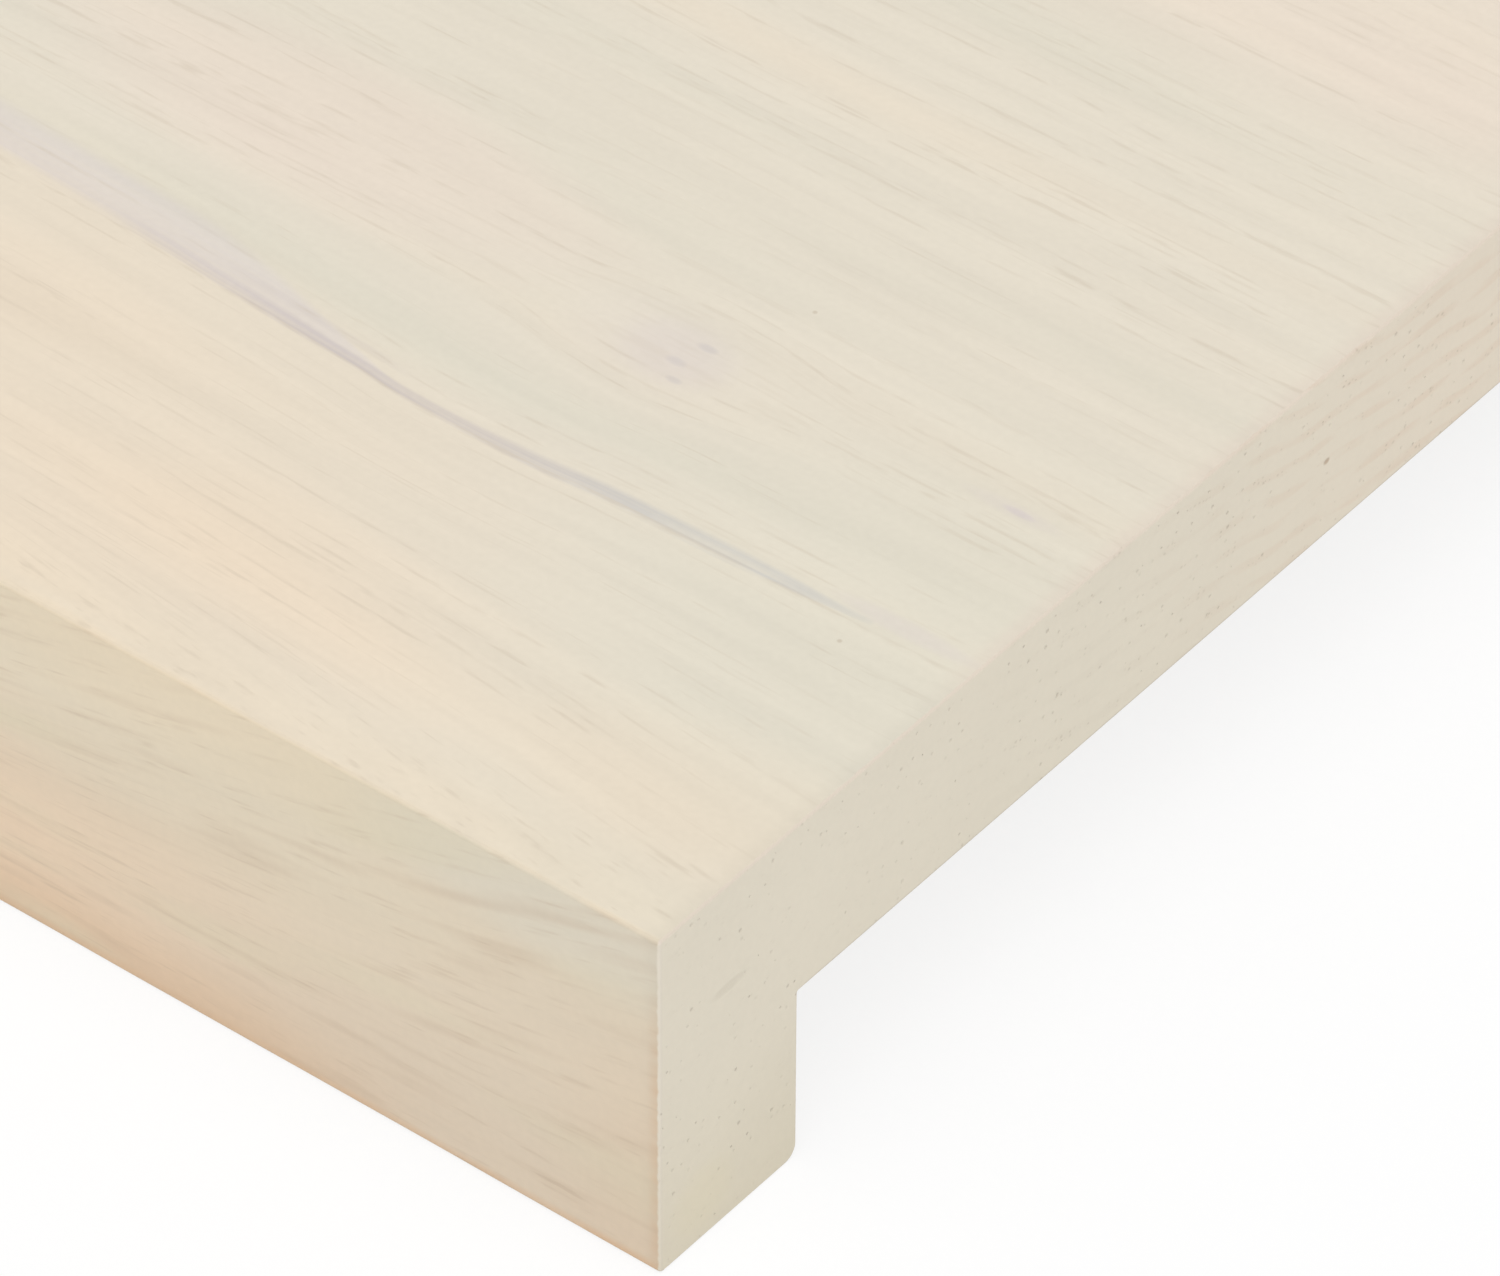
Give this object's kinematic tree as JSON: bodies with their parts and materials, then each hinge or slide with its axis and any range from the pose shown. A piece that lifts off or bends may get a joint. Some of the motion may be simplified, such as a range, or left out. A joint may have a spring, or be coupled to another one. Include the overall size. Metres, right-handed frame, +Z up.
{
  "type": "window sill board",
  "caption": "Solid oak window sill board with a dropped front nose, an L in section, pale oiled, that beds on the wall below a window and laps over the wall's room side.",
  "frame": {"origin": "middle of the board's length and depth, level with the underside of the nose", "axes": "+X along the board, -Y to the room, so the nose is at -Y, +Z up out of the top face"},
  "size_m": [1, 0.2, 0.04],
  "materials": {
    "oak": "white-oiled, matt, open pores"
  },
  "bodies": {
    "root": {"sill_board": "oak"}
  },
  "joints": []
}
